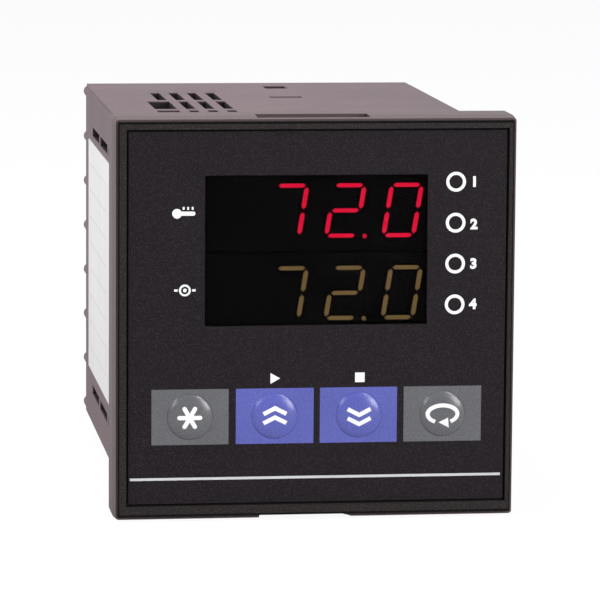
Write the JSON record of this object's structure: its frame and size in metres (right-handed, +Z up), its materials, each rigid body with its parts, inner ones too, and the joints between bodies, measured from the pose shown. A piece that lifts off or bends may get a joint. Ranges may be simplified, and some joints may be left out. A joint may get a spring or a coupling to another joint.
{
  "type": "pid temperature controller",
  "caption": "Panel-mounted PID temperature controller with a 96 mm square front, two four-digit displays, four status lights and four keys.",
  "frame": {"origin": "centre of the bezel's rear face, where it bears on the panel", "axes": "+X to the right of someone facing the display, +Y into the panel, +Z up"},
  "size_m": [0.096, 0.1428, 0.096],
  "materials": {
    "case_black": "matte",
    "bezel_black": "satin",
    "film_charcoal": "satin",
    "window_smoke": "gloss",
    "key_grey": "satin",
    "key_blue": "satin",
    "label_white": "matte",
    "reflector_black": "matte",
    "lens_red": "satin",
    "lens_amber": "satin",
    "board_green": "satin",
    "relay_blue": "satin",
    "lamination_steel": "satin",
    "coil_tape": "satin",
    "capacitor_black": "satin",
    "part_black": "matte",
    "terminal_black": "satin",
    "screw_steel": "satin",
    "clamp_steel": "satin",
    "lamp_clear": "gloss",
    "fuse_glass": "gloss",
    "contact_brass": "satin"
  },
  "bodies": {
    "controller": {"bezel": "bezel_black", "case": "case_black", "controller_chip": "part_black", "crystal": "screw_steel", "display_board": "board_green", "display_board_screws": "screw_steel", "display_lower": "reflector_black", "display_lower_lens": "lens_amber", "display_upper": "reflector_black", "display_upper_lens": "lens_red", "display_window": "window_smoke", "filter_capacitor": "capacitor_black", "front_film": "film_charcoal", "fuse": "fuse_glass", "fuse_clip_front": "contact_brass", "fuse_clip_rear": "contact_brass", "key_switch_down": "part_black", "key_switch_enter": "part_black", "key_switch_setup": "part_black", "key_switch_up": "part_black", "logic_board": "board_green", "logic_header": "part_black", "optocoupler_1": "part_black", "optocoupler_2": "part_black", "power_board": "board_green", "power_header": "part_black", "rear_cover": "case_black", "relay_1": "relay_blue", "relay_2": "relay_blue", "reservoir_capacitor": "capacitor_black", "side_label": "label_white", "status_light_1": "lamp_clear", "status_light_2": "lamp_clear", "status_light_3": "lamp_clear", "status_light_4": "lamp_clear", "terminal_block_left": "terminal_black", "terminal_block_right": "terminal_black", "terminal_clamps_left": "clamp_steel", "terminal_clamps_right": "clamp_steel", "terminal_screws_left": "screw_steel", "terminal_screws_right": "screw_steel", "transformer_coil": "coil_tape", "transformer_core": "lamination_steel"},
    "setup_key": {"key_setup": "key_grey", "plunger_setup": "part_black"},
    "up_key": {"key_up": "key_blue", "plunger_up": "part_black"},
    "down_key": {"key_down": "key_blue", "plunger_down": "part_black"},
    "enter_key": {"key_enter": "key_grey", "plunger_enter": "part_black"}
  },
  "joints": [
    {"name": "press_setup", "type": "slide", "parent": "controller", "child": "setup_key", "axis": [0, 1, 0], "range_m": [0, 0.0004], "stiffness_N_per_m": 3000, "springref_m": -0.0002},
    {"name": "press_up", "type": "slide", "parent": "controller", "child": "up_key", "axis": [0, 1, 0], "range_m": [0, 0.0004], "stiffness_N_per_m": 3000, "springref_m": -0.0002},
    {"name": "press_down", "type": "slide", "parent": "controller", "child": "down_key", "axis": [0, 1, 0], "range_m": [0, 0.0004], "stiffness_N_per_m": 3000, "springref_m": -0.0002},
    {"name": "press_enter", "type": "slide", "parent": "controller", "child": "enter_key", "axis": [0, 1, 0], "range_m": [0, 0.0004], "stiffness_N_per_m": 3000, "springref_m": -0.0002}
  ]
}
